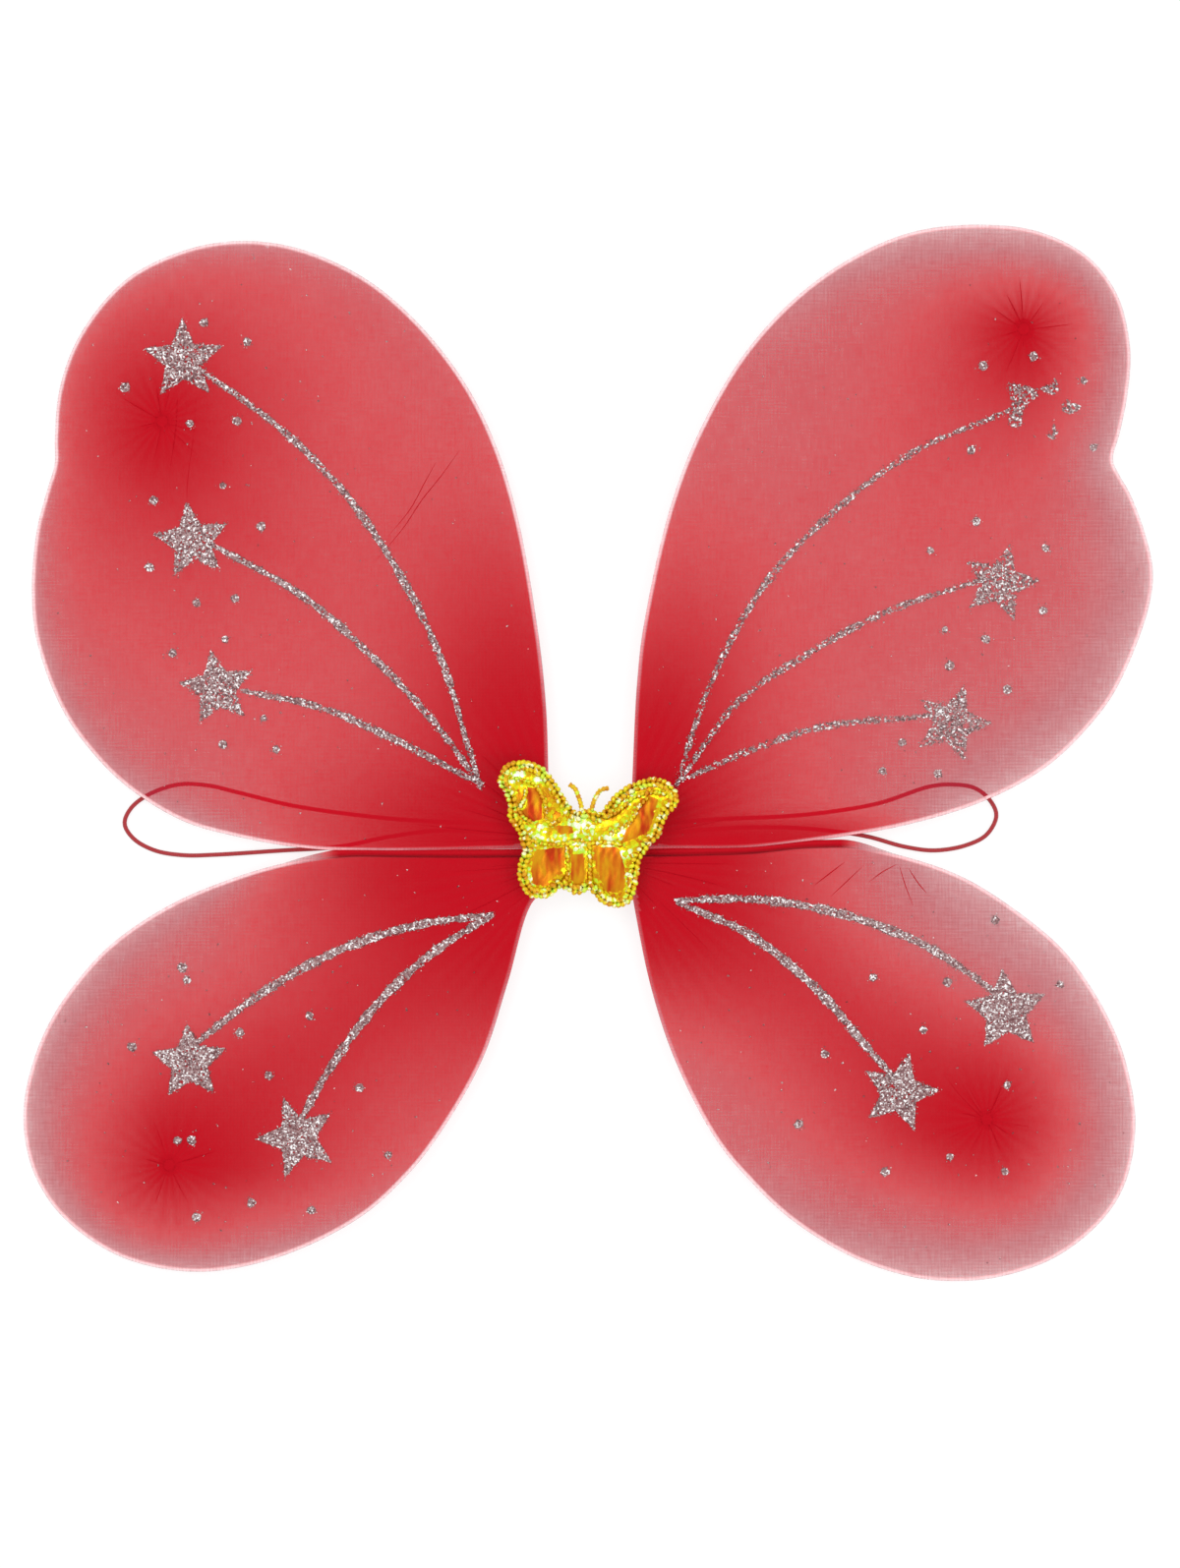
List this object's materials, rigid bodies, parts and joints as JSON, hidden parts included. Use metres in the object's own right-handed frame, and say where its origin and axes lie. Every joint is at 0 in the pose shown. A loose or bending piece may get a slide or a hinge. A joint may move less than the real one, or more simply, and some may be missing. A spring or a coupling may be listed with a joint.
{
  "type": "dress-up butterfly wings",
  "caption": "Child's dress-up butterfly wings: sheer net sleeves on wire loops, glitter star trails, a padded foil butterfly in the middle and elastic shoulder loops.",
  "frame": {"origin": "middle of the felt back pad's flat face, on the surface the wings lie on", "axes": "+X to the right as the decorated front is looked at, +Y towards the head, +Z out of the decorated front, away from the wearer's back"},
  "size_m": [0.4721, 0.4414, 0.0211],
  "materials": {
    "wire": "steel wire in a thin white coat",
    "net": "sheer nylon net",
    "glitter": "glitter set in clear glue",
    "thread": "tied thread",
    "elastic": "braided cover over rubber strands",
    "tape": "cloth tape",
    "glue": "hot-melt glue",
    "felt": "pressed felt",
    "patch_felt": "stiff felt",
    "foam": "wadding",
    "foil": "holographic foil fabric",
    "edge_cord": "metallic twisted cord",
    "antenna": "metallic twisted cord"
  },
  "bodies": {
    "centre": {"upper_wire_crossing_top": "wire", "upper_wire_crossing_bottom": "wire", "lower_wire_crossing_top": "wire", "lower_wire_crossing_bottom": "wire", "upper_left_root_tie": "thread", "upper_right_root_tie": "thread", "lower_left_root_tie": "thread", "lower_right_root_tie": "thread", "binding_tape": "tape", "glue_bed": "glue", "back_pad": "felt", "left_strap_knot": "elastic", "right_strap_knot": "elastic", "patch_backing": "patch_felt", "patch_padding": "foam", "patch_foil": "foil", "patch_edge_cord": "edge_cord", "left_antenna": "antenna", "right_antenna": "antenna"},
    "upper_left_wing": {"upper_left_wire": "wire", "upper_left_net": "net", "upper_left_glitter": "glitter", "upper_left_tip_tie": "thread"},
    "upper_right_wing": {"upper_right_wire": "wire", "upper_right_net": "net", "upper_right_glitter": "glitter", "upper_right_tip_tie": "thread"},
    "lower_left_wing": {"lower_left_wire": "wire", "lower_left_net": "net", "lower_left_glitter": "glitter", "lower_left_tip_tie": "thread"},
    "lower_right_wing": {"lower_right_wire": "wire", "lower_right_net": "net", "lower_right_glitter": "glitter", "lower_right_tip_tie": "thread"},
    "left_strap_loop": {"left_strap": "elastic"},
    "right_strap_loop": {"right_strap": "elastic"}
  },
  "joints": [
    {"name": "upper_left_flap", "type": "hinge", "parent": "centre", "child": "upper_left_wing", "pos_m": [-0.014, 0, 0.0089], "axis": [0, 1, 0], "range_deg": [0, 18], "stiffness_Nm_per_rad": 0.5},
    {"name": "upper_right_flap", "type": "hinge", "parent": "centre", "child": "upper_right_wing", "pos_m": [0.014, 0, 0.0089], "axis": [0, -1, 0], "range_deg": [0, 18], "stiffness_Nm_per_rad": 0.5},
    {"name": "lower_left_flap", "type": "hinge", "parent": "centre", "child": "lower_left_wing", "pos_m": [-0.014, 0, 0.0089], "axis": [0, 1, 0], "range_deg": [0, 18], "stiffness_Nm_per_rad": 0.5},
    {"name": "lower_right_flap", "type": "hinge", "parent": "centre", "child": "lower_right_wing", "pos_m": [0.014, 0, 0.0089], "axis": [0, -1, 0], "range_deg": [0, 18], "stiffness_Nm_per_rad": 0.5},
    {"name": "left_strap_swing", "type": "hinge", "parent": "centre", "child": "left_strap_loop", "pos_m": [-0.0133, 0.0032, 0.0026], "axis": [0, -1, 0], "range_deg": [0, 75]},
    {"name": "right_strap_swing", "type": "hinge", "parent": "centre", "child": "right_strap_loop", "pos_m": [0.0133, 0.0032, 0.0026], "axis": [0, 1, 0], "range_deg": [0, 75]}
  ]
}
